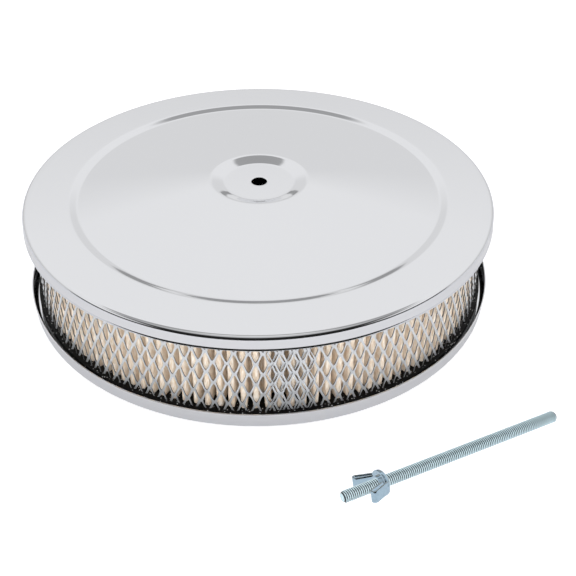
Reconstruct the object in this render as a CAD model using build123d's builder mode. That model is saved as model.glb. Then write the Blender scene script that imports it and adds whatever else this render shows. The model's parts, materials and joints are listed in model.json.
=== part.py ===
from build123d import *
from math import asin, atan2, cos, pi, radians, sin
import os

# A round carburettor air cleaner, 14 in across, with a 3 in class filter element.
# The origin is the centre of the base pan's neck at the collar's lower edge, +Z up.
# The base pan stands on the flat ring under its filter seat.
# The stud and its wing nut lie beside it on the same surface.

inch = 25.4

# Sheet metal of the lid and the base pan
sheet = 0.9
outer_radius = 7.0 * inch
touch_gap = 0.02

# Base pan
neck_radius = 5.125 * inch / 2
collar_clearance = 3.0
panel_rise = 9.0
panel_slope_width = 7.5
seat_margin = 3.5
rim_height = 12.6
rim_overhang = 1.8
rim_draft = 1.0
neck_bend = 2.0
panel_bend = 3.0
pan_corner = 2.1

# Neck gasket
gasket_thickness = 0.25 * inch
gasket_width = 8.0
gasket_gap = 0.3

# Filter element
element_height = 75.6
seal_rim_gap = 3.0
seal_width = 24.7
seal_height = 7.8
seal_edge = 1.2

# Expanded metal sleeves
outer_mesh_inset = 2.9
outer_mesh_thickness = 1.0
inner_mesh_inset = 1.4
inner_mesh_thickness = 0.8
mesh_columns = 60
mesh_rows = 2
mesh_strand = 3.4

# Pleated paper
paper_outer_gap = 2.2
paper_inner_gap = 1.0
paper_thickness = 0.7
pleat_count = 130
pleat_tip_width = 4.0
pleat_root_width = 3.4
pleat_tip_round = 0.9

# Lid
lid_lip_height = 10.1
lid_corner = 3.0
lid_plate_width = 34.5
ring_width = 5.6
ring_depth = 1.8
ring_bend = 5.0
dome_rise = 9.8
dish_rim_radius = 36.5
dish_floor_radius = 27.0
dish_depth = 3.0
dish_rim_bend = 7.0
dish_floor_bend = 5.0
stud_hole_radius = 0.46875 * inch / 2

# Stud
stud_radius = 0.3125 * inch / 2
stud_length = 6.5 * inch
stud_chamfer = 1.2
stud_far_x = 196.1
stud_far_y = -176.1
stud_heading = 206.0

# Wing nut, a one-piece stamping
nut_sheet = 1.2
nut_running_gap = 0.05
nut_cup_radius = 8.5
nut_cup_height = 3.6
nut_cup_bend = 2.2
nut_hub_radius = 5.9
nut_hub_height = 5.6
nut_from_tip = 30.0
nut_roll = -158.4
wing_width = 7.4
wing_height = 14.6
wing_reach = 14.2
wing_loop_width = 4.9
wing_loop_bend = 2.3
wing_root_offset = 0.7
wing_root_height = 1.0

# Levels worked out from the sizes above
rest_z = -collar_clearance
seat_z = rest_z + sheet
panel_z = rest_z + panel_rise
rim_z = rest_z + rim_height
bottom_seal_top_z = seat_z + seal_height
element_top_z = seat_z + element_height
top_seal_bottom_z = element_top_z - seal_height
core_height = top_seal_bottom_z - bottom_seal_top_z
lid_z = element_top_z + sheet
dish_rim_z = lid_z + dome_rise
dish_floor_z = dish_rim_z - dish_depth

# Radii worked out from the rim inwards
pan_wall_radius = outer_radius + rim_overhang - sheet
seal_outer_radius = pan_wall_radius - rim_draft - seal_rim_gap
seal_inner_radius = seal_outer_radius - seal_width
seat_inner_radius = seal_inner_radius - seat_margin
panel_radius = seat_inner_radius - panel_slope_width
outer_mesh_radius = seal_outer_radius - outer_mesh_inset
inner_mesh_radius = seal_inner_radius + inner_mesh_inset
paper_outer_radius = outer_mesh_radius - outer_mesh_thickness - paper_outer_gap
paper_inner_radius = inner_mesh_radius + inner_mesh_thickness + paper_inner_gap
ring_outer_radius = outer_radius - lid_plate_width
ring_inner_radius = ring_outer_radius - ring_width

os.makedirs("parts", exist_ok=True)

# Base pan: one pressing, with the neck collar, the raised panel, the filter seat and the rim
with BuildPart() as base_pan:
    with BuildSketch(Plane.XZ):
        with BuildLine():
            FilletPolyline(
                (neck_radius, 0),
                (neck_radius, panel_z),
                (panel_radius, panel_z),
                (seat_inner_radius, seat_z),
                (pan_wall_radius - rim_draft, seat_z),
                (pan_wall_radius, rim_z),
                radius=[neck_bend, panel_bend, panel_bend, pan_corner],
            )
            offset(amount=sheet, side=Side.RIGHT)
        make_face()
    revolve(axis=Axis.Z)

# Neck gasket: a rubber ring under the panel, round the collar
gasket_inner_radius = neck_radius + neck_bend + gasket_gap
with BuildPart() as neck_gasket:
    with BuildSketch(Plane.XY.offset(panel_z - sheet - gasket_thickness)):
        Circle(gasket_inner_radius + gasket_width)
        Circle(gasket_inner_radius, mode=Mode.SUBTRACT)
    extrude(amount=gasket_thickness)

# Bottom seal: a moulded rubber ring, rounded where it shows round the mesh
with BuildPart() as bottom_seal:
    with BuildSketch(Plane.XY.offset(seat_z)):
        Circle(seal_outer_radius)
        Circle(seal_inner_radius, mode=Mode.SUBTRACT)
    extrude(amount=seal_height)
    fillet(bottom_seal.edges().group_by(Axis.Z)[-1].sort_by(SortBy.RADIUS)[-1], seal_edge)

# Top seal: the same ring, turned over
with BuildPart() as top_seal:
    with BuildSketch(Plane.XY.offset(top_seal_bottom_z)):
        Circle(seal_outer_radius)
        Circle(seal_inner_radius, mode=Mode.SUBTRACT)
    extrude(amount=seal_height)
    fillet(top_seal.edges().group_by(Axis.Z)[0].sort_by(SortBy.RADIUS)[-1], seal_edge)


def polar(radius, angle):
    return (radius * cos(angle), radius * sin(angle))


def pleat_outline(tip_radius, root_radius, tip_half, root_half, rounding):
    """One closed wavy line: a flat-topped wave with its tips chamfered to look round."""
    points = []
    for index in range(pleat_count):
        middle = 2 * pi * index / pleat_count
        half_pitch = pi / pleat_count
        shoulder = tip_half / tip_radius
        crown = max(tip_half - rounding, 0.3) / tip_radius
        root = half_pitch - root_half / root_radius
        points.append(polar(root_radius, middle - root))
        points.append(polar(tip_radius - rounding, middle - shoulder))
        points.append(polar(tip_radius, middle - crown))
        points.append(polar(tip_radius, middle + crown))
        points.append(polar(tip_radius - rounding, middle + shoulder))
        points.append(polar(root_radius, middle + root))
    return points


# Pleated paper: one folded strip, a wavy wall of even thickness
with BuildPart() as filter_paper:
    with BuildSketch(Plane.XY.offset(bottom_seal_top_z)):
        with BuildLine():
            Polyline(
                *pleat_outline(
                    paper_outer_radius,
                    paper_inner_radius + paper_thickness,
                    pleat_tip_width / 2,
                    pleat_root_width / 2 - paper_thickness,
                    pleat_tip_round,
                ),
                close=True,
            )
        make_face()
        with BuildLine():
            Polyline(
                *pleat_outline(
                    paper_outer_radius - paper_thickness,
                    paper_inner_radius,
                    pleat_tip_width / 2 - paper_thickness,
                    pleat_root_width / 2,
                    pleat_tip_round,
                ),
                close=True,
            )
        make_face(mode=Mode.SUBTRACT)
    extrude(amount=core_height)


def diamond_planes(radius):
    """Planes square to a sleeve's wall, one at the middle of each diamond of its mesh."""
    planes = []
    row_pitch = core_height / (mesh_rows + 1)
    for row in range(mesh_rows):
        z = bottom_seal_top_z + row_pitch * (row + 1)
        for column in range(mesh_columns):
            angle = 2 * pi * (column + 0.5 * (row % 2)) / mesh_columns
            x, y = polar(radius, angle)
            planes.append(Plane(origin=(x, y, z), x_dir=(-sin(angle), cos(angle), 0), z_dir=(x, y, 0)))
    return planes


def sleeve(outside, thickness):
    """A sleeve of expanded metal: a thin tube with staggered diamond openings."""
    inside = outside - thickness
    half_width = pi * outside / mesh_columns - mesh_strand / 2
    half_height = core_height / (mesh_rows + 1) - mesh_strand / 2
    with BuildPart() as tube:
        with BuildSketch(Plane.XY.offset(bottom_seal_top_z)):
            Circle(outside)
            Circle(inside, mode=Mode.SUBTRACT)
        extrude(amount=core_height)
        with BuildSketch(*diamond_planes(inside - thickness)):
            Polygon((half_width, 0), (0, half_height), (-half_width, 0), (0, -half_height))
        extrude(amount=3 * thickness, mode=Mode.SUBTRACT)
    return tube.part


outer_mesh = sleeve(outer_mesh_radius, outer_mesh_thickness)
inner_mesh = sleeve(inner_mesh_radius + inner_mesh_thickness, inner_mesh_thickness)

# Lid: one pressing, from the stud hole out over the dish, the low cone and the step to the lip
with BuildPart() as lid:
    with BuildSketch(Plane.XZ):
        with BuildLine():
            FilletPolyline(
                (stud_hole_radius, dish_floor_z),
                (dish_floor_radius, dish_floor_z),
                (dish_rim_radius, dish_rim_z),
                (ring_inner_radius, lid_z - ring_depth),
                (ring_outer_radius, lid_z),
                (outer_radius, lid_z),
                (outer_radius, lid_z - lid_lip_height),
                radius=[dish_floor_bend, dish_rim_bend, ring_bend, ring_bend, lid_corner],
            )
            offset(amount=sheet, side=Side.RIGHT)
        make_face()
    revolve(axis=Axis.Z)

# Where the stud lies: its far end and the wing nut's lower wing rest on the surface
roll = radians(nut_roll)
wing_drop = wing_reach * abs(sin(roll)) + wing_width / 2 * abs(cos(roll))
wing_span = stud_length - nut_from_tip + wing_height
cup_span = stud_length - nut_from_tip + nut_cup_height
tilt = max(
    asin((wing_drop - stud_radius) / (wing_span - stud_chamfer)),
    asin((nut_cup_radius - stud_radius) / (cup_span - stud_chamfer)),
)
heading = radians(stud_heading)
along = Vector(cos(tilt) * cos(heading), cos(tilt) * sin(heading), sin(tilt))
level = Vector(-sin(heading), cos(heading), 0)
upward = along.cross(level)
far_end = Vector(stud_far_x, stud_far_y, rest_z + stud_radius / cos(tilt) + touch_gap)
near_end = far_end + along * stud_length
across = level * cos(roll) + upward * sin(roll)

# Stud: a plain rod on the thread's outside size, chamfered at both ends
stud_plane = Plane(origin=far_end, x_dir=across, z_dir=along)
with BuildPart() as stud:
    with BuildSketch(stud_plane):
        Circle(stud_radius)
    extrude(amount=stud_length)
    chamfer(stud.edges().filter_by(GeomType.CIRCLE), stud_chamfer)

# Wing nut: a shallow cup with a drawn hub, and two wings folded back on themselves
nut_origin = near_end - along * nut_from_tip
nut_section = Plane(origin=nut_origin, x_dir=across, z_dir=across.cross(along))
nut_axis = Axis(nut_origin, along)
nut_bore_radius = stud_radius + nut_running_gap
wing_root_radius = nut_cup_radius - wing_root_offset
wing_slant = atan2(wing_reach - wing_root_radius, wing_height - wing_root_height)
loop_inner_x = wing_reach - wing_loop_width * cos(wing_slant)
loop_inner_z = wing_height + wing_loop_width * sin(wing_slant)
loop_foot_x = nut_hub_radius - nut_sheet / 2
loop_foot_z = nut_hub_height - nut_sheet
with BuildPart() as wing_nut:
    with BuildSketch(nut_section):
        with BuildLine():
            FilletPolyline(
                (nut_bore_radius, 0),
                (nut_cup_radius, 0),
                (nut_cup_radius, nut_cup_height),
                radius=[nut_cup_bend],
            )
            offset(amount=nut_sheet, side=Side.LEFT)
        make_face()
        with Locations(((nut_bore_radius + nut_hub_radius) / 2, nut_hub_height / 2)):
            Rectangle(nut_hub_radius - nut_bore_radius, nut_hub_height)
    revolve(axis=nut_axis)
    with BuildSketch(nut_section):
        with BuildLine():
            FilletPolyline(
                (wing_root_radius, wing_root_height),
                (wing_reach, wing_height),
                (loop_inner_x, loop_inner_z),
                (loop_foot_x, loop_foot_z),
                radius=[wing_loop_bend, wing_loop_bend],
            )
            offset(amount=nut_sheet, side=Side.LEFT)
        make_face()
        mirror(about=Plane.YZ)
    extrude(amount=wing_width / 2, both=True)

# Each piece is written under its own name
pieces = {
    "base_pan": base_pan.part,
    "neck_gasket": neck_gasket.part,
    "bottom_seal": bottom_seal.part,
    "filter_paper": filter_paper.part,
    "inner_mesh": inner_mesh,
    "outer_mesh": outer_mesh,
    "top_seal": top_seal.part,
    "lid": lid.part,
    "stud": stud.part,
    "wing_nut": wing_nut.part,
}
for name, piece in pieces.items():
    piece.label = name
    export_step(piece, f"parts/{name}.step")
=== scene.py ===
import bpy
import json
from math import copysign, cos, hypot, pi, radians, sin, tan
from mathutils import Matrix, Vector


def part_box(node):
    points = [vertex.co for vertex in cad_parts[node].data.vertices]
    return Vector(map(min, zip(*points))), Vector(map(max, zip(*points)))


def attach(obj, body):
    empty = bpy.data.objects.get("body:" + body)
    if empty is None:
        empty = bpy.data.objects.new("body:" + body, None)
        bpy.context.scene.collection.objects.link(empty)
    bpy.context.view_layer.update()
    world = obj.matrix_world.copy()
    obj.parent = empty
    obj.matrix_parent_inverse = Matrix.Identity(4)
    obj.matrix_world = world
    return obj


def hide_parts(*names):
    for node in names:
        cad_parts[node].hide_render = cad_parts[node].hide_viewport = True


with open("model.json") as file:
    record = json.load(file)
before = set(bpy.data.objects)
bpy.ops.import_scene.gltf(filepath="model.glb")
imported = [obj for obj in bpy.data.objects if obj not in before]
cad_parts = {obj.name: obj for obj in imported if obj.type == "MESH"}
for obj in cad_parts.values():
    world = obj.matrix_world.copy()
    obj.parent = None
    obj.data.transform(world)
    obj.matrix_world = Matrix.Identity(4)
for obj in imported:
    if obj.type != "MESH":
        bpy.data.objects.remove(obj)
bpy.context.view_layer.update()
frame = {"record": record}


# Base pan: one round pressing of 0.9 mm steel, with a neck collar, a raised panel, a flat
# seat for the filter and an upright rim. It is polished and chrome plated.
MM = 0.001
SHEET = 0.9 * MM
REST = -3.0 * MM
SEAT = REST + SHEET
PANEL = 6.0 * MM
RIM_TOP = 9.6 * MM
NECK_RADIUS = 65.0875 * MM
PANEL_RADIUS = 139.0 * MM
SEAT_RADIUS = 146.5 * MM
RIM_RADIUS = 178.7 * MM
RIM_LEAN = 1.0 * MM
ROUND_STEPS = 300


def draw_line(name, corners):
    """A bent line in the XZ plane, drawn from corner to corner."""
    bpy.ops.object.select_all(action="DESELECT")
    bpy.ops.mesh.primitive_plane_add(size=0.002)
    piece = bpy.context.object
    piece.name = name
    bpy.ops.object.mode_set(mode="EDIT")
    bpy.ops.mesh.select_mode(type="VERT")
    bpy.ops.mesh.select_all(action="SELECT")
    bpy.ops.mesh.merge(type="CENTER")
    bpy.ops.transform.translate(value=(corners[0][0], 0, corners[0][1]))
    for (x0, z0), (x1, z1) in zip(corners, corners[1:]):
        bpy.ops.mesh.extrude_region_move(TRANSFORM_OT_translate={"value": (x1 - x0, 0, z1 - z0)})
    bpy.ops.object.mode_set(mode="OBJECT")
    return piece


def pick_points(piece, wanted):
    """Selects the points of a mesh that a test picks, with the edges and faces between them."""
    for part in (piece.data.vertices, piece.data.edges, piece.data.polygons):
        part.foreach_set("select", [False] * len(part))
    for point in piece.data.vertices:
        point.select = wanted(point.co)
    bpy.ops.object.mode_set(mode="EDIT")
    bpy.ops.mesh.select_mode(type="VERT")


def round_corner(piece, before, corner, after, radius, steps):
    """Bends one corner of a drawn line to a radius."""
    into = Vector(corner) - Vector(before)
    out = Vector(after) - Vector(corner)
    reach = radius * tan(into.angle(out) / 2)
    place = Vector((corner[0], 0, corner[1]))
    pick_points(piece, lambda co: (co - place).length < 1e-6)
    bpy.ops.mesh.bevel(offset=reach, offset_type="OFFSET", affect="VERTICES", segments=steps, clamp_overlap=False)
    bpy.ops.object.mode_set(mode="OBJECT")


def divide_flats(piece, longest):
    """Divides the long stretches of a drawn line, so that a bend's shading stays beside the bend."""
    for cuts, above in ((5, 12 * longest), (4, 4 * longest), (1, longest)):
        long_edges = [e.index for e in piece.data.edges if edge_length(piece, e) > above]
        for part in (piece.data.vertices, piece.data.edges):
            part.foreach_set("select", [False] * len(part))
        for index in long_edges:
            piece.data.edges[index].select = True
            for v in piece.data.edges[index].vertices:
                piece.data.vertices[v].select = True
        if long_edges:
            bpy.ops.object.mode_set(mode="EDIT")
            bpy.ops.mesh.select_mode(type="EDGE")
            bpy.ops.mesh.subdivide(number_cuts=cuts)
            bpy.ops.object.mode_set(mode="OBJECT")


def edge_length(piece, edge):
    a, b = (piece.data.vertices[v].co for v in edge.vertices)
    return (a - b).length


def turn_round(piece, steps):
    """Turns a drawn line once round the upright axis."""
    bpy.ops.object.mode_set(mode="EDIT")
    bpy.ops.mesh.select_all(action="SELECT")
    bpy.ops.mesh.spin(steps=steps, angle=2 * pi, center=(0, 0, 0), axis=(0, 0, 1))
    bpy.ops.mesh.select_all(action="SELECT")
    bpy.ops.mesh.remove_doubles(threshold=1e-6)
    bpy.ops.mesh.normals_make_consistent(inside=False)
    bpy.ops.object.mode_set(mode="OBJECT")


def face_up(piece, radius):
    """Turns a pressing's faces so that the flat at this radius faces up."""
    flat = min(piece.data.polygons, key=lambda p: abs(hypot(p.center.x, p.center.y) - radius))
    if flat.normal.z < 0:
        bpy.ops.object.mode_set(mode="EDIT")
        bpy.ops.mesh.select_all(action="SELECT")
        bpy.ops.mesh.flip_normals()
        bpy.ops.object.mode_set(mode="OBJECT")


def apply_all(piece):
    for modifier in list(piece.modifiers):
        bpy.ops.object.modifier_apply(modifier=modifier.name)


def press_sheet(name, corners, bends, steps, face_radius, edge_width):
    """A round pressing: a drawn line with bent corners, turned round, with the sheet's thickness under it."""
    piece = draw_line(name, corners)
    for i, radius in enumerate(bends):
        round_corner(piece, corners[i], corners[i + 1], corners[i + 2], radius, steps[i])
    divide_flats(piece, 2.0 * MM)
    turn_round(piece, ROUND_STEPS)
    face_up(piece, face_radius)
    wall = piece.modifiers.new("sheet", "SOLIDIFY")
    wall.thickness = SHEET
    wall.offset = -1
    wall.use_even_offset = True
    edge = piece.modifiers.new("cut_edge", "BEVEL")
    edge.width = edge_width
    edge.segments = 3
    edge.limit_method = "ANGLE"
    edge.angle_limit = radians(50)
    apply_all(piece)
    bpy.ops.object.shade_smooth_by_angle(angle=radians(50))
    return piece


def chrome_plate(name, tint):
    """Bright chrome over polished steel: a faint waviness from the pressing and fine polishing marks."""
    material = bpy.data.materials.new(name)
    material.use_nodes = True
    nodes, links = material.node_tree.nodes, material.node_tree.links
    shader = nodes["Principled BSDF"]
    shader.inputs["Metallic"].default_value = 1.0
    shader.inputs["Base Color"].default_value = tint
    place = nodes.new("ShaderNodeTexCoord")
    haze = nodes.new("ShaderNodeTexNoise")
    haze.inputs["Scale"].default_value = 38.0
    haze.inputs["Detail"].default_value = 4.0
    spread = nodes.new("ShaderNodeMapRange")
    spread.inputs["To Min"].default_value = 0.035
    spread.inputs["To Max"].default_value = 0.085
    waves = nodes.new("ShaderNodeTexNoise")
    waves.inputs["Scale"].default_value = 16.0
    waves.inputs["Detail"].default_value = 1.0
    bump = nodes.new("ShaderNodeBump")
    bump.inputs["Strength"].default_value = 0.04
    bump.inputs["Distance"].default_value = 0.002
    links.new(place.outputs["Object"], haze.inputs["Vector"])
    links.new(haze.outputs["Fac"], spread.inputs["Value"])
    links.new(spread.outputs["Result"], shader.inputs["Roughness"])
    links.new(place.outputs["Object"], waves.inputs["Vector"])
    links.new(waves.outputs["Fac"], bump.inputs["Height"])
    links.new(bump.outputs["Normal"], shader.inputs["Normal"])
    return material


def finish_piece(piece, material, node, body):
    piece.data.materials.clear()
    piece.data.materials.append(material)
    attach(piece, body)
    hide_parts(node)


chrome = chrome_plate("chrome_plate", (0.79, 0.797, 0.82, 1))
pan_corners = [
    (NECK_RADIUS, 0),
    (NECK_RADIUS, PANEL),
    (PANEL_RADIUS, PANEL),
    (SEAT_RADIUS, SEAT),
    (RIM_RADIUS - RIM_LEAN, SEAT),
    (RIM_RADIUS, RIM_TOP),
]
pan_bends = [2.0 * MM, 3.0 * MM, 3.0 * MM, 2.1 * MM]
base_pan = press_sheet("base_pan_pressing", pan_corners, pan_bends, [10, 6, 6, 10], 0.12, 0.2 * MM)
finish_piece(base_pan, chrome, "base_pan", "cleaner")


# Neck gasket: a square-cut ring of soft rubber, pushed on round the collar under the panel.
# It is dusty black and a little mottled.
def black_rubber(name, tint, low, high, speck, shine):
    """Moulded black rubber: nearly even, with a soft sheen and specks of a given tone painted into the colour."""
    material = bpy.data.materials.new(name)
    material.use_nodes = True
    nodes, links = material.node_tree.nodes, material.node_tree.links
    shader = nodes["Principled BSDF"]
    shader.inputs["Specular IOR Level"].default_value = shine
    place = nodes.new("ShaderNodeTexCoord")
    mottle = nodes.new("ShaderNodeTexNoise")
    mottle.inputs["Scale"].default_value = 260.0
    mottle.inputs["Detail"].default_value = 5.0
    spread = nodes.new("ShaderNodeMapRange")
    spread.inputs["To Min"].default_value = low
    spread.inputs["To Max"].default_value = high
    # Specks painted into the base colour; on the seal they are bright painted glints of the rubber's sheen.
    specks = nodes.new("ShaderNodeTexVoronoi")
    specks.inputs["Scale"].default_value = 420.0
    picked = nodes.new("ShaderNodeValToRGB")
    picked.color_ramp.elements[0].position = 0.0
    picked.color_ramp.elements[0].color = (speck, speck, speck, 1)
    picked.color_ramp.elements[1].position = 0.24
    picked.color_ramp.elements[1].color = tint
    bump = nodes.new("ShaderNodeBump")
    bump.inputs["Strength"].default_value = 0.35
    bump.inputs["Distance"].default_value = 0.0006
    links.new(place.outputs["Object"], mottle.inputs["Vector"])
    links.new(place.outputs["Object"], specks.inputs["Vector"])
    links.new(mottle.outputs["Fac"], spread.inputs["Value"])
    links.new(spread.outputs["Result"], shader.inputs["Roughness"])
    links.new(specks.outputs["Distance"], picked.inputs["Fac"])
    links.new(picked.outputs["Color"], shader.inputs["Base Color"])
    links.new(mottle.outputs["Fac"], bump.inputs["Height"])
    links.new(bump.outputs["Normal"], shader.inputs["Normal"])
    return material


def turn_ring(name, inner, outer, bottom, top, edge_width, edge_steps, material, node):
    """A closed ring, turned from a rectangle, with its edges rounded."""
    piece = draw_line(name, [(inner, bottom), (outer, bottom), (outer, top), (inner, top), (inner, bottom)])
    bpy.ops.object.mode_set(mode="EDIT")
    bpy.ops.mesh.select_all(action="SELECT")
    bpy.ops.mesh.remove_doubles(threshold=1e-6)
    bpy.ops.object.mode_set(mode="OBJECT")
    turn_round(piece, 240)
    edge = piece.modifiers.new("moulded_edge", "BEVEL")
    edge.width = edge_width
    edge.segments = edge_steps
    edge.limit_method = "ANGLE"
    edge.angle_limit = radians(50)
    apply_all(piece)
    bpy.ops.object.shade_smooth_by_angle(angle=radians(50))
    finish_piece(piece, material, node, "cleaner")
    return piece


soft_rubber = black_rubber("gasket_rubber", (0.028, 0.028, 0.029, 1), 0.6, 0.8, 0.05, 0.4)
GASKET_INNER = 67.3875 * MM
GASKET_OUTER = 75.3875 * MM
gasket_low, gasket_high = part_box("neck_gasket")
neck_gasket = turn_ring(
    "neck_gasket_ring", GASKET_INNER, GASKET_OUTER, gasket_low.z, gasket_high.z, 0.4 * MM, 2,
    soft_rubber, "neck_gasket",
)


# Bottom seal: a ring of black rubber, moulded round the feet of the paper and of both
# sleeves. Its outer edge shows as a glossy black band between the mesh and the rim.
SEAL_OUTER = 174.7 * MM
SEAL_INNER = 150.0 * MM
SEAL_HEIGHT = 7.8 * MM
SEAL_EDGE = 1.2 * MM
# Its bright specks (0.8) are painted glints of the rubber's sheen.
seal_rubber = black_rubber("seal_rubber", (0.003, 0.003, 0.003, 1), 0.3, 0.5, 0.8, 0.12)
bottom_seal = turn_ring(
    "bottom_seal_ring", SEAL_INNER, SEAL_OUTER, SEAT, SEAT + SEAL_HEIGHT, SEAL_EDGE, 5,
    seal_rubber, "bottom_seal",
)


# Pleated paper: one strip of cream filter paper, folded into sharp pleats with rounded tips
# and glued end to end. The pleats stand a little unevenly, as folded paper does.
CORE_LOW = SEAT + SEAL_HEIGHT
CORE_HIGH = 65.7 * MM
PLEATS = 130
PLEAT_TIP = 168.6 * MM
PLEAT_ROOT = 153.9 * MM
PLEAT_TIP_HALF = 1.95 * MM
PLEAT_ROOT_HALF = 0.9 * MM
PAPER_THICKNESS = 0.6 * MM
half_pitch = pi / PLEATS


def on_plan(radius, angle):
    return (radius * cos(angle), radius * sin(angle))


pleat_corners = [
    on_plan(PLEAT_ROOT * 0.9999, -half_pitch),
    on_plan(PLEAT_ROOT, -half_pitch + PLEAT_ROOT_HALF / PLEAT_ROOT),
    on_plan(PLEAT_TIP, -PLEAT_TIP_HALF / PLEAT_TIP),
    on_plan(PLEAT_TIP, PLEAT_TIP_HALF / PLEAT_TIP),
    on_plan(PLEAT_ROOT, half_pitch - PLEAT_ROOT_HALF / PLEAT_ROOT),
    on_plan(PLEAT_ROOT * 0.9999, half_pitch),
]
paper = draw_line("pleated_paper", pleat_corners)
for i, (radius, steps) in enumerate([(0.7 * MM, 3), (1.5 * MM, 5), (1.5 * MM, 5), (0.7 * MM, 3)]):
    round_corner(paper, pleat_corners[i], pleat_corners[i + 1], pleat_corners[i + 2], radius, steps)


def stand_up(piece, low, high, levels):
    """Lays a drawn XZ line down into plan, then raises it to a wall from one height to another."""
    bpy.ops.object.mode_set(mode="EDIT")
    bpy.ops.mesh.select_all(action="SELECT")
    bpy.ops.object.mode_set(mode="OBJECT")
    piece.data.transform(Matrix.Rotation(radians(-90), 4, "X"))
    bpy.ops.object.mode_set(mode="EDIT")
    bpy.ops.mesh.select_all(action="SELECT")
    bpy.ops.transform.translate(value=(0, 0, low))
    for _ in range(levels):
        bpy.ops.mesh.extrude_region_move(TRANSFORM_OT_translate={"value": (0, 0, (high - low) / levels)})
    bpy.ops.mesh.select_all(action="SELECT")
    bpy.ops.mesh.normals_make_consistent(inside=False)
    bpy.ops.object.mode_set(mode="OBJECT")


def ring_of_copies(piece, count):
    """Repeats one pattern unit round the upright axis and joins the copies into one ring."""
    turn = bpy.data.objects.new("one_step", None)
    bpy.context.scene.collection.objects.link(turn)
    turn.rotation_euler = (0, 0, 2 * pi / count)
    copies = piece.modifiers.new("round_the_axis", "ARRAY")
    copies.count = count
    copies.use_relative_offset = False
    copies.use_object_offset = True
    copies.offset_object = turn
    bpy.context.view_layer.update()
    apply_all(piece)
    bpy.data.objects.remove(turn)
    bpy.ops.object.mode_set(mode="EDIT")
    bpy.ops.mesh.select_all(action="SELECT")
    bpy.ops.mesh.remove_doubles(threshold=0.02 * MM)
    bpy.ops.object.mode_set(mode="OBJECT")


def uneven(piece, size, amount):
    """Moves a piece's surface a little, in slow random waves."""
    waves = bpy.data.textures.new(piece.name + "_waves", "CLOUDS")
    waves.noise_scale = size
    waves.cloud_type = "COLOR"
    shake = piece.modifiers.new("uneven", "DISPLACE")
    shake.texture = waves
    shake.texture_coords = "LOCAL"
    shake.direction = "RGB_TO_XYZ"
    shake.strength = amount
    shake.mid_level = 0.5
    apply_all(piece)


stand_up(paper, CORE_LOW, CORE_HIGH, 6)
ring_of_copies(paper, PLEATS)
uneven(paper, 0.011, 1.5 * MM)
wall = paper.modifiers.new("paper_thickness", "SOLIDIFY")
wall.thickness = PAPER_THICKNESS
wall.offset = -1
apply_all(paper)
bpy.ops.object.shade_smooth_by_angle(angle=radians(60))


def filter_stock():
    """Cream filter paper: long soft fibres, small flecks, and a soft sheen."""
    material = bpy.data.materials.new("filter_paper_stock")
    material.use_nodes = True
    nodes, links = material.node_tree.nodes, material.node_tree.links
    shader = nodes["Principled BSDF"]
    shader.inputs["Roughness"].default_value = 0.75
    shader.inputs["Sheen Weight"].default_value = 0.15
    place = nodes.new("ShaderNodeTexCoord")
    stretch = nodes.new("ShaderNodeMapping")
    stretch.inputs["Scale"].default_value = (1, 1, 0.25)
    fibre = nodes.new("ShaderNodeTexNoise")
    fibre.inputs["Scale"].default_value = 900.0
    fibre.inputs["Detail"].default_value = 6.0
    tone = nodes.new("ShaderNodeValToRGB")
    tone.color_ramp.elements[0].position = 0.3
    tone.color_ramp.elements[0].color = (0.74, 0.57, 0.40, 1)
    tone.color_ramp.elements[1].position = 0.7
    tone.color_ramp.elements[1].color = (0.96, 0.90, 0.82, 1)
    bump = nodes.new("ShaderNodeBump")
    bump.inputs["Strength"].default_value = 0.4
    bump.inputs["Distance"].default_value = 0.0003
    links.new(place.outputs["Object"], stretch.inputs["Vector"])
    links.new(stretch.outputs["Vector"], fibre.inputs["Vector"])
    links.new(fibre.outputs["Fac"], tone.inputs["Fac"])
    links.new(tone.outputs["Color"], shader.inputs["Base Color"])
    links.new(fibre.outputs["Fac"], bump.inputs["Height"])
    links.new(bump.outputs["Normal"], shader.inputs["Normal"])
    return material


finish_piece(paper, filter_stock(), "filter_paper", "cleaner")


# Outer sleeve: expanded steel, slit and stretched from one zinc-coated sheet, then rolled to a
# tube with its ends lapped over three columns of diamonds at the front. The inner sleeve
# holds the paper from inside and is made of the same metal.
DIAMOND_HEIGHT = 17.5 * MM
BOND_WIDTH = 3.2 * MM
BOND_HEIGHT = 3.1 * MM
FIRST_BOND = 29.1 * MM
STRAND_LEAN = 0.7 * MM
STRAND_THICKNESS = 0.55 * MM
OPENING_POWER = 1.62


def zinc_sheet(name, tint, shine, low, high):
    """Zinc-coated steel: a soft metallic grey with a dull bloom."""
    material = bpy.data.materials.new(name)
    material.use_nodes = True
    nodes, links = material.node_tree.nodes, material.node_tree.links
    shader = nodes["Principled BSDF"]
    shader.inputs["Metallic"].default_value = shine
    place = nodes.new("ShaderNodeTexCoord")
    bloom = nodes.new("ShaderNodeTexNoise")
    bloom.inputs["Scale"].default_value = 420.0
    bloom.inputs["Detail"].default_value = 4.0
    tone = nodes.new("ShaderNodeValToRGB")
    tone.color_ramp.elements[0].position = 0.3
    tone.color_ramp.elements[0].color = tuple(0.84 * c for c in tint) + (1,)
    tone.color_ramp.elements[1].position = 0.7
    tone.color_ramp.elements[1].color = tuple(tint) + (1,)
    spread = nodes.new("ShaderNodeMapRange")
    spread.inputs["To Min"].default_value = low
    spread.inputs["To Max"].default_value = high
    links.new(place.outputs["Object"], bloom.inputs["Vector"])
    links.new(bloom.outputs["Fac"], tone.inputs["Fac"])
    links.new(tone.outputs["Color"], shader.inputs["Base Color"])
    links.new(bloom.outputs["Fac"], spread.inputs["Value"])
    links.new(spread.outputs["Result"], shader.inputs["Roughness"])
    return material


def vector_step(nodes, links, operation, first, second=None, output="Vector"):
    step = nodes.new("ShaderNodeVectorMath")
    step.operation = operation
    links.new(first, step.inputs[0])
    if isinstance(second, tuple):
        step.inputs[1].default_value = second
    elif second:
        links.new(second, step.inputs[1])
    return step.outputs[output]


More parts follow.
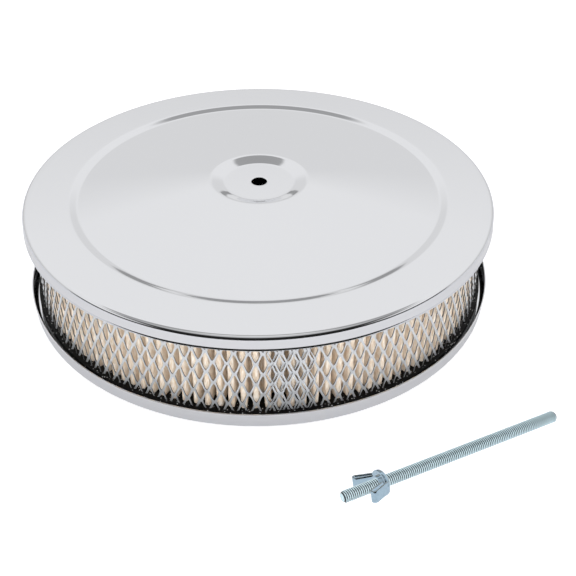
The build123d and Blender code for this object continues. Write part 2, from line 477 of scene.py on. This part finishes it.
def paint_shade_by(material, measure, low, high, dark):
    """Paints shade into a material's colour: darkens it where a measure is low."""
    nodes, links = material.node_tree.nodes, material.node_tree.links
    shader = nodes["Principled BSDF"]
    tone = shader.inputs["Base Color"].links[0].from_socket
    spread = nodes.new("ShaderNodeMapRange")
    spread.inputs["From Min"].default_value = low
    spread.inputs["From Max"].default_value = high
    spread.inputs["To Min"].default_value = dark
    links.new(measure, spread.inputs["Value"])
    shaded = vector_step(nodes, links, "MULTIPLY", tone, spread.outputs["Result"])
    links.new(shaded, shader.inputs["Base Color"])


def sleeve_column(name, radius, columns, sides, first_bond, low, high):
    """One column of an expanded sheet, rolled to the tube's radius at the front.

    A diamond is half a strand's width all round a rounded opening. It is copied half a step across and
    up, and the pair is repeated up the sheet. The slitting leaves every bond leaning outwards at its top.
    """
    width = 2 * pi * radius / columns
    bpy.ops.object.select_all(action="DESELECT")
    bpy.ops.mesh.primitive_circle_add(vertices=sides, radius=1)
    piece = bpy.context.object
    piece.name = name
    bpy.ops.object.mode_set(mode="EDIT")
    bpy.ops.mesh.select_mode(type="VERT")
    bpy.ops.mesh.select_all(action="SELECT")
    bpy.ops.mesh.extrude_edges_move()
    bpy.ops.transform.resize(value=(0.5, 0.5, 0.5))
    bpy.ops.object.mode_set(mode="OBJECT")
    for point in piece.data.vertices:
        reach = hypot(point.co.x, point.co.y)
        on_middle = reach > 0.75
        half_width = (width if on_middle else width - BOND_WIDTH) / 2
        half_height = (DIAMOND_HEIGHT if on_middle else DIAMOND_HEIGHT - BOND_HEIGHT) / 2
        power = 2 if on_middle else OPENING_POWER
        x = copysign(half_width * (abs(point.co.x) / reach) ** power, point.co.x)
        z = copysign(half_height * (abs(point.co.y) / reach) ** power, point.co.y)
        point.co = (x, 0, z)
    bpy.ops.object.mode_set(mode="EDIT")
    bpy.ops.mesh.select_all(action="SELECT")
    bpy.ops.mesh.duplicate_move(TRANSFORM_OT_translate={"value": (width / 2, 0, DIAMOND_HEIGHT / 2)})
    bpy.ops.object.mode_set(mode="OBJECT")
    stack = piece.modifiers.new("up_the_sheet", "ARRAY")
    stack.count = int((high - low) / DIAMOND_HEIGHT) + 3
    stack.use_relative_offset = False
    stack.use_constant_offset = True
    stack.constant_offset_displace = (0, 0, DIAMOND_HEIGHT)
    apply_all(piece)
    bottom = first_bond - DIAMOND_HEIGHT * (int((first_bond - low) / DIAMOND_HEIGHT) + 1.5)
    bpy.ops.object.mode_set(mode="EDIT")
    bpy.ops.mesh.select_all(action="SELECT")
    bpy.ops.transform.translate(value=(0, 0, bottom))
    bpy.ops.mesh.remove_doubles(threshold=0.02 * MM)
    for height, inner, outer in ((low, True, False), (high, False, True)):
        bpy.ops.mesh.select_all(action="SELECT")
        bpy.ops.mesh.bisect(plane_co=(0, 0, height), plane_no=(0, 0, 1), clear_inner=inner, clear_outer=outer)
    bpy.ops.object.mode_set(mode="OBJECT")
    for point in piece.data.vertices:
        across_step = 2 * pi * point.co.x / width
        up_step = 2 * pi * (point.co.z - bottom) / DIAMOND_HEIGHT
        out = radius - STRAND_LEAN * cos(across_step) * sin(up_step)
        turned = point.co.x / radius
        point.co = (out * sin(turned), -out * cos(turned), point.co.z)
    bpy.ops.object.mode_set(mode="EDIT")
    bpy.ops.mesh.select_all(action="SELECT")
    bpy.ops.mesh.normals_make_consistent(inside=False)
    bpy.ops.object.mode_set(mode="OBJECT")
    return piece


def turn_mesh(piece, angle):
    piece.data.transform(Matrix.Rotation(angle, 4, "Z"))


def thicken_sleeve(piece, thickness):
    wall = piece.modifiers.new("sheet_thickness", "SOLIDIFY")
    wall.thickness = thickness
    wall.offset = 0
    apply_all(piece)


OUTER_RADIUS = 171.0 * MM
OUTER_COLUMNS = 115
SEAM_TURN = radians(-1.25)
LAP_TURN = SEAM_TURN + radians(3.8804)
LAP_OUT = 0.7 * MM
LAP_UP = 0.9 * MM
outer_sleeve = sleeve_column("outer_sleeve", OUTER_RADIUS, OUTER_COLUMNS, 24, FIRST_BOND, CORE_LOW, CORE_HIGH)
lap = outer_sleeve.copy()
lap.data = outer_sleeve.data.copy()
lap.name = "sleeve_lap"
bpy.context.scene.collection.objects.link(lap)
turn_mesh(outer_sleeve, SEAM_TURN)
ring_of_copies(outer_sleeve, OUTER_COLUMNS)
thicken_sleeve(outer_sleeve, STRAND_THICKNESS)
bpy.ops.object.select_all(action="DESELECT")
bpy.context.view_layer.objects.active = lap
lap.select_set(True)
lap.data.transform(Matrix.Translation((0, -LAP_OUT, LAP_UP)))
turn_mesh(lap, LAP_TURN)
column = lap.modifiers.new("three_columns", "ARRAY")
column.count = 3
column.use_relative_offset = False
column.use_object_offset = True
step = bpy.data.objects.new("lap_step", None)
bpy.context.scene.collection.objects.link(step)
step.rotation_euler = (0, 0, 2 * pi / OUTER_COLUMNS)
column.offset_object = step
bpy.context.view_layer.update()
apply_all(lap)
bpy.data.objects.remove(step)
thicken_sleeve(lap, 0.45 * MM)
bpy.ops.object.select_all(action="DESELECT")
outer_sleeve.select_set(True)
lap.select_set(True)
bpy.context.view_layer.objects.active = outer_sleeve
bpy.ops.object.join()
bpy.ops.object.shade_smooth_by_angle(angle=radians(35))
sleeve_metal = zinc_sheet("sleeve_metal", (0.63, 0.65, 0.675), 0.5, 0.26, 0.4)
# Painted shade: where a strand's surface turns away from the tube's radius, on its sides and edges, the colour is
# darkened down to 0.15, standing in for the shade there.
nodes, links = sleeve_metal.node_tree.nodes, sleeve_metal.node_tree.links
place = nodes.new("ShaderNodeTexCoord")
from_axis = vector_step(nodes, links, "MULTIPLY", place.outputs["Object"], (1, 1, 0))
outward = vector_step(nodes, links, "NORMALIZE", from_axis)
facing = vector_step(nodes, links, "DOT_PRODUCT", outward, place.outputs["Normal"], "Value")
turned_out = nodes.new("ShaderNodeMath")
turned_out.operation = "ABSOLUTE"
links.new(facing, turned_out.inputs[0])
paint_shade_by(sleeve_metal, turned_out.outputs["Value"], 0.3, 0.8, 0.15)
finish_piece(outer_sleeve, sleeve_metal, "outer_mesh", "cleaner")

INNER_RADIUS = 151.8 * MM
INNER_COLUMNS = 103
inner_sleeve = sleeve_column("inner_sleeve", INNER_RADIUS, INNER_COLUMNS, 16, FIRST_BOND, CORE_LOW, CORE_HIGH)
ring_of_copies(inner_sleeve, INNER_COLUMNS)
thicken_sleeve(inner_sleeve, STRAND_THICKNESS)
bpy.ops.object.shade_smooth_by_angle(angle=radians(35))
finish_piece(inner_sleeve, sleeve_metal, "inner_mesh", "cleaner")


# Top seal: the same black ring on the upper ends of the paper and the sleeves. The lid's lip
# hides it.
ELEMENT_TOP = 73.5 * MM
top_seal = turn_ring(
    "top_seal_ring", SEAL_INNER, SEAL_OUTER, CORE_HIGH, ELEMENT_TOP, SEAL_EDGE, 5,
    seal_rubber, "top_seal",
)


# Lid: one round pressing with a turned-down lip that flares a little at its edge, a flat margin,
# a shallow step, a low cone and a dish with the stud hole. It is chrome plated like the base pan.
LID_RADIUS = 177.8 * MM
LID_TOP = ELEMENT_TOP + SHEET
STUD_HOLE = 5.9531 * MM
DISH_FLOOR = 81.2 * MM
DISH_RIM = 84.2 * MM
STEP_FOOT = 72.6 * MM
FLARE_TOP = 65.0 * MM
FLARE_FOOT = 63.6 * MM
FLARE_OUT = 0.6 * MM
lid_corners = [
    (STUD_HOLE, DISH_FLOOR),
    (27.0 * MM, DISH_FLOOR),
    (36.5 * MM, DISH_RIM),
    (137.7 * MM, STEP_FOOT),
    (143.3 * MM, LID_TOP),
    (LID_RADIUS, LID_TOP),
    (LID_RADIUS, FLARE_TOP),
    (LID_RADIUS + FLARE_OUT, FLARE_FOOT),
]
lid_bends = [5.0 * MM, 7.0 * MM, 5.0 * MM, 5.0 * MM, 3.0 * MM, 0.3 * MM]
lid = press_sheet("lid_pressing", lid_corners, lid_bends, [8, 8, 8, 8, 14, 4], 0.16, 0.3 * MM)
finish_piece(lid, chrome, "lid", "cleaner")


# Stud: a steel rod with a 5/16-18 thread rolled over its whole length, zinc plated bright and
# bluish. It lies beside the cleaner, held up at the near end by the wing nut. It throws no shade
# or reflection on the table and the chrome, as in a picture cut out on white.
STUD_RADIUS = 3.96875 * MM
STUD_LENGTH = 165.1 * MM
STUD_CHAMFER = 1.2 * MM
PITCH = 25.4 * MM / 18
TURNS = 119
THREAD_STEPS = 24
thread_end = next(m for m in frame["record"]["mounts"] if m["name"] == "stud_thread")
far_end = Vector(thread_end["pos_m"])
along = -Vector(thread_end["axis"]).normalized()
level = Vector((0, 0, 1)).cross(along).normalized()
upward = along.cross(level)
thread_root = STUD_RADIUS - 0.6 * PITCH
stud = draw_line("threaded_stud", [
    (STUD_RADIUS, -PITCH),
    (STUD_RADIUS, -0.85 * PITCH),
    (thread_root, -0.5 * PITCH),
    (thread_root, -0.35 * PITCH),
    (STUD_RADIUS, 0),
])
thread = stud.modifiers.new("rolled_thread", "SCREW")
thread.axis = "Z"
thread.screw_offset = PITCH
thread.iterations = TURNS
thread.steps = THREAD_STEPS
thread.render_steps = THREAD_STEPS
thread.use_merge_vertices = True
thread.merge_threshold = 0.001 * MM
apply_all(stud)
bpy.ops.object.mode_set(mode="EDIT")
for end, inner, outer in ((0, True, False), (STUD_LENGTH, False, True)):
    bpy.ops.mesh.select_all(action="SELECT")
    bpy.ops.mesh.bisect(
        plane_co=(0, 0, end), plane_no=(0, 0, 1), use_fill=True, clear_inner=inner, clear_outer=outer
    )
bpy.ops.mesh.select_all(action="SELECT")
bpy.ops.mesh.normals_make_consistent(inside=False)
bpy.ops.object.mode_set(mode="OBJECT")
for point in stud.data.vertices:
    to_end = min(point.co.z, STUD_LENGTH - point.co.z)
    allowed = STUD_RADIUS - max(0.0, STUD_CHAMFER - to_end)
    reach = hypot(point.co.x, point.co.y)
    if reach > allowed:
        point.co.x *= allowed / reach
        point.co.y *= allowed / reach
bpy.ops.object.shade_smooth_by_angle(angle=radians(28))
stud_frame = Matrix((level, upward, along)).transposed().to_4x4()
stud_frame.translation = far_end
stud.data.transform(stud_frame)
stud_zinc = zinc_sheet("stud_zinc", (0.66, 0.85, 0.92), 0.5, 0.1, 0.2)
# Painted shade: the colour darkens to 0.04 near the thread's root radius, standing in for the shade and dark
# reflections in the thread's grooves.
nodes, links = stud_zinc.node_tree.nodes, stud_zinc.node_tree.links
place = nodes.new("ShaderNodeTexCoord")
from_end = vector_step(nodes, links, "SUBTRACT", place.outputs["Object"], tuple(far_end))
sideways = vector_step(nodes, links, "CROSS_PRODUCT", from_end, tuple(along))
depth = vector_step(nodes, links, "LENGTH", sideways, None, "Value")
above_root = nodes.new("ShaderNodeMath")
above_root.operation = "SUBTRACT"
above_root.inputs[1].default_value = thread_root
from_root = nodes.new("ShaderNodeMath")
from_root.operation = "ABSOLUTE"
links.new(depth, above_root.inputs[0])
links.new(above_root.outputs["Value"], from_root.inputs[0])
paint_shade_by(stud_zinc, from_root.outputs["Value"], 0.12 * PITCH, 0.45 * PITCH, 0.04)
finish_piece(stud, stud_zinc, "stud", "stud")
stud.visible_glossy = False
stud.visible_diffuse = False
stud.visible_shadow = False


# Wing nut: stamped from one strip of 1.2 mm steel and zinc plated: a shallow cup with a drawn
# hub that holds the thread, and two wings folded back on themselves to loops.
NUT_SHEET = 1.2 * MM
NUT_BORE = STUD_RADIUS + 0.05 * MM
NUT_ROLL = radians(-158.4)
NUT_FROM_TIP = 30.0 * MM
CUP_RADIUS = 8.5 * MM
CUP_HEIGHT = 3.6 * MM
HUB_HEIGHT = 5.6 * MM
WING_WIDTH = 7.4 * MM
nut_origin = far_end + along * (STUD_LENGTH - NUT_FROM_TIP)
across = level * cos(NUT_ROLL) + upward * sin(NUT_ROLL)


def soften(piece, width, steps):
    """Rounds a stamping's edges."""
    edge = piece.modifiers.new("soft_edge", "BEVEL")
    edge.width = width
    edge.segments = steps
    edge.limit_method = "ANGLE"
    edge.angle_limit = radians(50)
    apply_all(piece)


cup_corners = [(NUT_BORE, 0), (CUP_RADIUS, 0), (CUP_RADIUS, CUP_HEIGHT)]
nut = draw_line("stamped_wing_nut", cup_corners)
round_corner(nut, cup_corners[0], cup_corners[1], cup_corners[2], 2.2 * MM, 6)
turn_round(nut, 72)
face_up(nut, 5.5 * MM)
wall = nut.modifiers.new("sheet", "SOLIDIFY")
wall.thickness = NUT_SHEET
wall.offset = 1
wall.use_even_offset = True
apply_all(nut)
soften(nut, 0.3 * MM, 3)

hub = draw_line("nut_hub", [
    (NUT_BORE, 0.4 * MM),
    (5.9 * MM, 0.4 * MM),
    (5.6 * MM, HUB_HEIGHT),
    (NUT_BORE, HUB_HEIGHT),
    (NUT_BORE, 0.4 * MM),
])
bpy.ops.object.mode_set(mode="EDIT")
bpy.ops.mesh.select_all(action="SELECT")
bpy.ops.mesh.remove_doubles(threshold=0.001 * MM)
bpy.ops.object.mode_set(mode="OBJECT")
turn_round(hub, 72)
soften(hub, 0.5 * MM, 4)

wing_corners = [(7.8 * MM, 1.0 * MM), (14.2 * MM, 14.6 * MM), (9.7664 * MM, 16.6864 * MM), (5.3 * MM, 4.4 * MM)]
wings = draw_line("nut_wings", wing_corners)
for i, steps in enumerate((8, 8)):
    round_corner(wings, wing_corners[i], wing_corners[i + 1], wing_corners[i + 2], 2.3 * MM, steps)
divide_flats(wings, 1.2 * MM)
bpy.ops.object.mode_set(mode="EDIT")
bpy.ops.mesh.select_all(action="SELECT")
bpy.ops.transform.translate(value=(0, -WING_WIDTH / 2, 0))
for _ in range(6):
    bpy.ops.mesh.extrude_region_move(TRANSFORM_OT_translate={"value": (0, WING_WIDTH / 6, 0)})
bpy.ops.mesh.select_all(action="SELECT")
bpy.ops.mesh.normals_make_consistent(inside=False)
bpy.ops.object.mode_set(mode="OBJECT")
outermost = max(wings.data.polygons, key=lambda p: p.center.x)
fold = wings.modifiers.new("sheet", "SOLIDIFY")
fold.thickness = NUT_SHEET
fold.offset = -1 if outermost.normal.x > 0 else 1
fold.use_even_offset = True
apply_all(wings)
soften(wings, 0.3 * MM, 3)
pair = wings.modifiers.new("both_sides", "MIRROR")
apply_all(wings)

for piece in (hub, wings):
    bpy.ops.object.select_all(action="DESELECT")
    bpy.context.view_layer.objects.active = nut
    nut.select_set(True)
    joined = nut.modifiers.new("one_stamping", "BOOLEAN")
    joined.operation = "UNION"
    joined.solver = "EXACT"
    joined.object = piece
    apply_all(nut)
    bpy.data.objects.remove(piece)
bpy.ops.object.shade_smooth_by_angle(angle=radians(40))
nut_frame = Matrix((across, along.cross(across), along)).transposed().to_4x4()
nut_frame.translation = nut_origin
nut.data.transform(nut_frame)
nut_zinc = zinc_sheet("nut_zinc", (0.46, 0.62, 0.74), 1.0, 0.08, 0.16)
finish_piece(nut, nut_zinc, "wing_nut", "wing_nut")
nut.visible_glossy = False
nut.visible_diffuse = False
nut.visible_shadow = False


# The table, the light and the camera: a white table in a pale studio. A dark gap runs overhead
# between the back wall and the ceiling, and past the table's front edge the room is dark.
bpy.ops.object.select_all(action="DESELECT")
bpy.ops.mesh.primitive_plane_add(size=8, location=(0, 3.58, REST - 0.1 * MM))
table = bpy.context.object
table.name = "table"
white = bpy.data.materials.new("white_table")
white.use_nodes = True
nodes, links = white.node_tree.nodes, white.node_tree.links
nodes.remove(nodes["Principled BSDF"])
paint = nodes.new("ShaderNodeBsdfDiffuse")
place = nodes.new("ShaderNodeTexCoord")
axes = nodes.new("ShaderNodeSeparateXYZ")
# Painted shade: the table's colour darkens from 0.76 to 0.63 towards its sides, a painted falloff of the light.
aside = nodes.new("ShaderNodeMath")
aside.operation = "ABSOLUTE"
painted_falloff = nodes.new("ShaderNodeValToRGB")
painted_falloff.color_ramp.elements[0].position = 0.19
painted_falloff.color_ramp.elements[0].color = (0.76, 0.76, 0.775, 1)
painted_falloff.color_ramp.elements[1].position = 0.45
painted_falloff.color_ramp.elements[1].color = (0.63, 0.64, 0.665, 1)
links.new(place.outputs["Object"], axes.inputs["Vector"])
links.new(axes.outputs["X"], aside.inputs[0])
links.new(aside.outputs["Value"], painted_falloff.inputs["Fac"])
links.new(painted_falloff.outputs["Color"], paint.inputs["Color"])
glow = nodes.new("ShaderNodeEmission")
glow.inputs["Color"].default_value = (1, 1, 1, 1)
both = nodes.new("ShaderNodeAddShader")
ray = nodes.new("ShaderNodeLightPath")
lift = nodes.new("ShaderNodeMath")
lift.operation = "MULTIPLY"
lift.inputs[1].default_value = 0.5
links.new(ray.outputs["Is Camera Ray"], lift.inputs[0])
links.new(lift.outputs["Value"], glow.inputs["Strength"])
links.new(paint.outputs["BSDF"], both.inputs[0])
links.new(glow.outputs["Emission"], both.inputs[1])
links.new(both.outputs["Shader"], nodes["Material Output"].inputs["Surface"])
table.data.materials.append(white)


def studio_ramp(nodes, links, height, levels):
    """The studio's brightness from the horizon (0) up to straight overhead (1)."""
    ramp = nodes.new("ShaderNodeValToRGB")
    for i, (place, level) in enumerate(levels):
        stop = ramp.color_ramp.elements[i] if i < 2 else ramp.color_ramp.elements.new(place)
        stop.position = place
        stop.color = (level, level, level, 1)
    links.new(height, ramp.inputs["Fac"])
    return ramp.outputs["Color"]


def mix_colours(nodes, links, share, first, second):
    mix = nodes.new("ShaderNodeMix")
    mix.data_type = "RGBA"
    links.new(share, mix.inputs[0])
    links.new(first, mix.inputs[6])
    links.new(second, mix.inputs[7])
    return mix.outputs[2]


def soft_step(nodes, links, value, low, high):
    step = nodes.new("ShaderNodeMapRange")
    step.interpolation_type = "SMOOTHSTEP"
    step.inputs["From Min"].default_value = low
    step.inputs["From Max"].default_value = high
    links.new(value, step.inputs["Value"])
    return step.outputs["Result"]


world = bpy.data.worlds.new("studio")
bpy.context.scene.world = world
world.use_nodes = True
nodes, links = world.node_tree.nodes, world.node_tree.links
backdrop = nodes["Background"]
place = nodes.new("ShaderNodeTexCoord")
axes = nodes.new("ShaderNodeSeparateXYZ")
links.new(place.outputs["Generated"], axes.inputs["Vector"])
far_wall = studio_ramp(nodes, links, axes.outputs["Z"], [
    (0.0, 0.85), (1.0, 0.85), (0.112, 0.85), (0.125, 0.36), (0.19, 0.36), (0.205, 0.80), (0.42, 0.82), (0.545, 0.94),
    (0.80, 0.95), (0.825, 0.42), (0.955, 0.40), (0.985, 0.82),
])
near_room = studio_ramp(nodes, links, axes.outputs["Z"], [
    (0.0, 0.02), (1.0, 0.82), (0.68, 0.02), (0.88, 0.60), (0.97, 0.66),
])
side_walls = studio_ramp(nodes, links, axes.outputs["Z"], [
    (0.0, 0.03), (1.0, 0.80), (0.22, 0.03), (0.30, 0.95), (0.6, 1.0), (0.8, 0.85),
])
width = nodes.new("ShaderNodeMath")
width.operation = "ABSOLUTE"
links.new(axes.outputs["X"], width.inputs[0])
beside = soft_step(nodes, links, width.outputs["Value"], 0.62, 0.85)
near_half = mix_colours(nodes, links, beside, near_room, side_walls)
ahead = soft_step(nodes, links, axes.outputs["Y"], -0.12, 0.06)
reflected = mix_colours(nodes, links, ahead, near_half, far_wall)
front_light = studio_ramp(nodes, links, axes.outputs["Z"], [(0.0, 2.6), (1.0, 0.9), (0.5, 2.2), (0.8, 0.9)])
back_light = studio_ramp(nodes, links, axes.outputs["Z"], [(0.0, 0.8), (1.0, 0.9)])
side_light = studio_ramp(nodes, links, axes.outputs["Z"], [(0.0, 3.0), (1.0, 0.9), (0.5, 2.3), (0.8, 0.9)])
lengthways = mix_colours(nodes, links, ahead, front_light, back_light)
soft_light = mix_colours(nodes, links, beside, lengthways, side_light)
ray = nodes.new("ShaderNodeLightPath")
white_card = nodes.new("ShaderNodeRGB")
white_card.outputs[0].default_value = (1, 1, 1, 1)
studio = mix_colours(nodes, links, ray.outputs["Is Diffuse Ray"], reflected, soft_light)
seen = mix_colours(nodes, links, ray.outputs["Is Camera Ray"], studio, white_card.outputs[0])
links.new(seen, backdrop.inputs["Color"])

camera = bpy.data.objects.new("camera", bpy.data.cameras.new("camera"))
bpy.context.scene.collection.objects.link(camera)
camera.location = (0, -0.6458, 0.4642)
camera.rotation_euler = (radians(53.1131), radians(-0.3671), radians(-1.7315))
camera.data.sensor_width = 36
camera.data.lens = 61.242
camera.data.clip_start = 0.01
bpy.context.scene.camera = camera
bpy.context.scene.view_settings.view_transform = "Standard"
